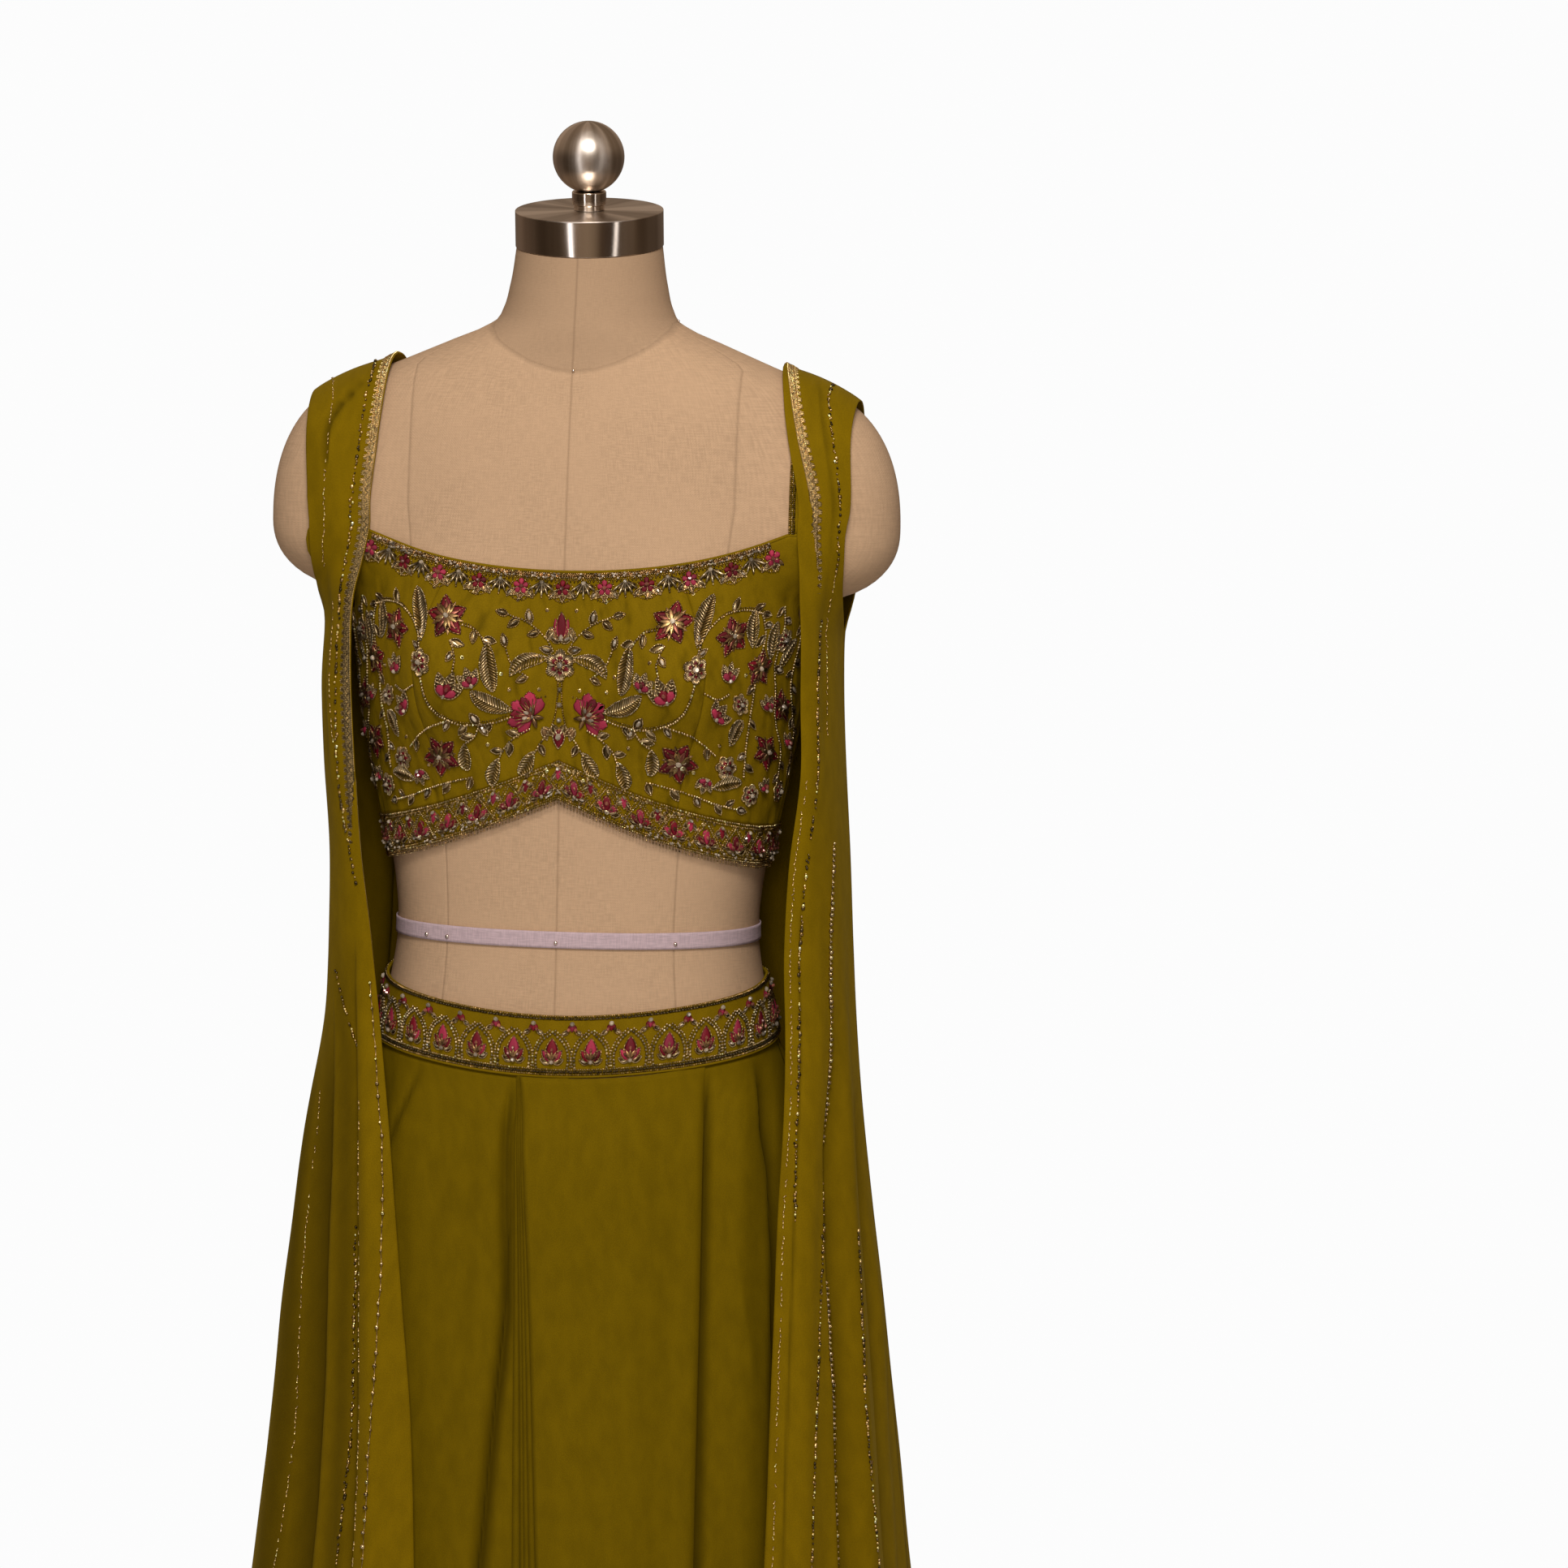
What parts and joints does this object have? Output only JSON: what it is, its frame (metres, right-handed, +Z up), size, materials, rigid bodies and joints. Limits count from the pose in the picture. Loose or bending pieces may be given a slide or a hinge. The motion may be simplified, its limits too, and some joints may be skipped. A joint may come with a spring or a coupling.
{
  "type": "pre-draped sari set on a dress form",
  "caption": "Olive sari set of crop top, pleated skirt with belt and long open sleeveless jacket, dressed on a linen form on a steel stand.",
  "frame": {"origin": "centre of the round base's underside, on the pole's axis", "axes": "+Z up along the pole; -Y is the front of the form and the side that the picture shows; +X is at the right of a viewer facing the front"},
  "size_m": [0.5702, 0.4836, 1.5811],
  "materials": {
    "linen": "plain woven linen, matte",
    "tape": "dull lilac cotton tape",
    "steel": "brushed, warm grey",
    "embroidered_cloth": "olive cloth under dense gold, crimson and clear beadwork",
    "cloth": "olive green crepe, soft low sheen",
    "lace": "gold metallic thread lace"
  },
  "bodies": {
    "root": {"form_torso": "linen", "waist_tape": "tape", "neck_cap": "steel", "knob_collar": "steel", "knob_ball": "steel", "stand_base": "steel", "base_collar": "steel", "stand_pole": "steel", "top_front": "embroidered_cloth", "top_side_left": "embroidered_cloth", "top_side_right": "embroidered_cloth", "top_back": "cloth", "top_band_front": "embroidered_cloth", "top_band_back": "embroidered_cloth", "top_strap_left": "embroidered_cloth", "top_strap_right": "embroidered_cloth", "belt_front": "embroidered_cloth", "belt_back": "embroidered_cloth", "skirt_front": "cloth", "skirt_back": "cloth", "jacket_front_left": "cloth", "jacket_front_right": "cloth", "jacket_back_left": "cloth", "jacket_back_right": "cloth", "jacket_trim_left": "lace", "jacket_trim_right": "lace", "neck_trim_left": "lace", "neck_trim_right": "lace"}
  },
  "joints": []
}
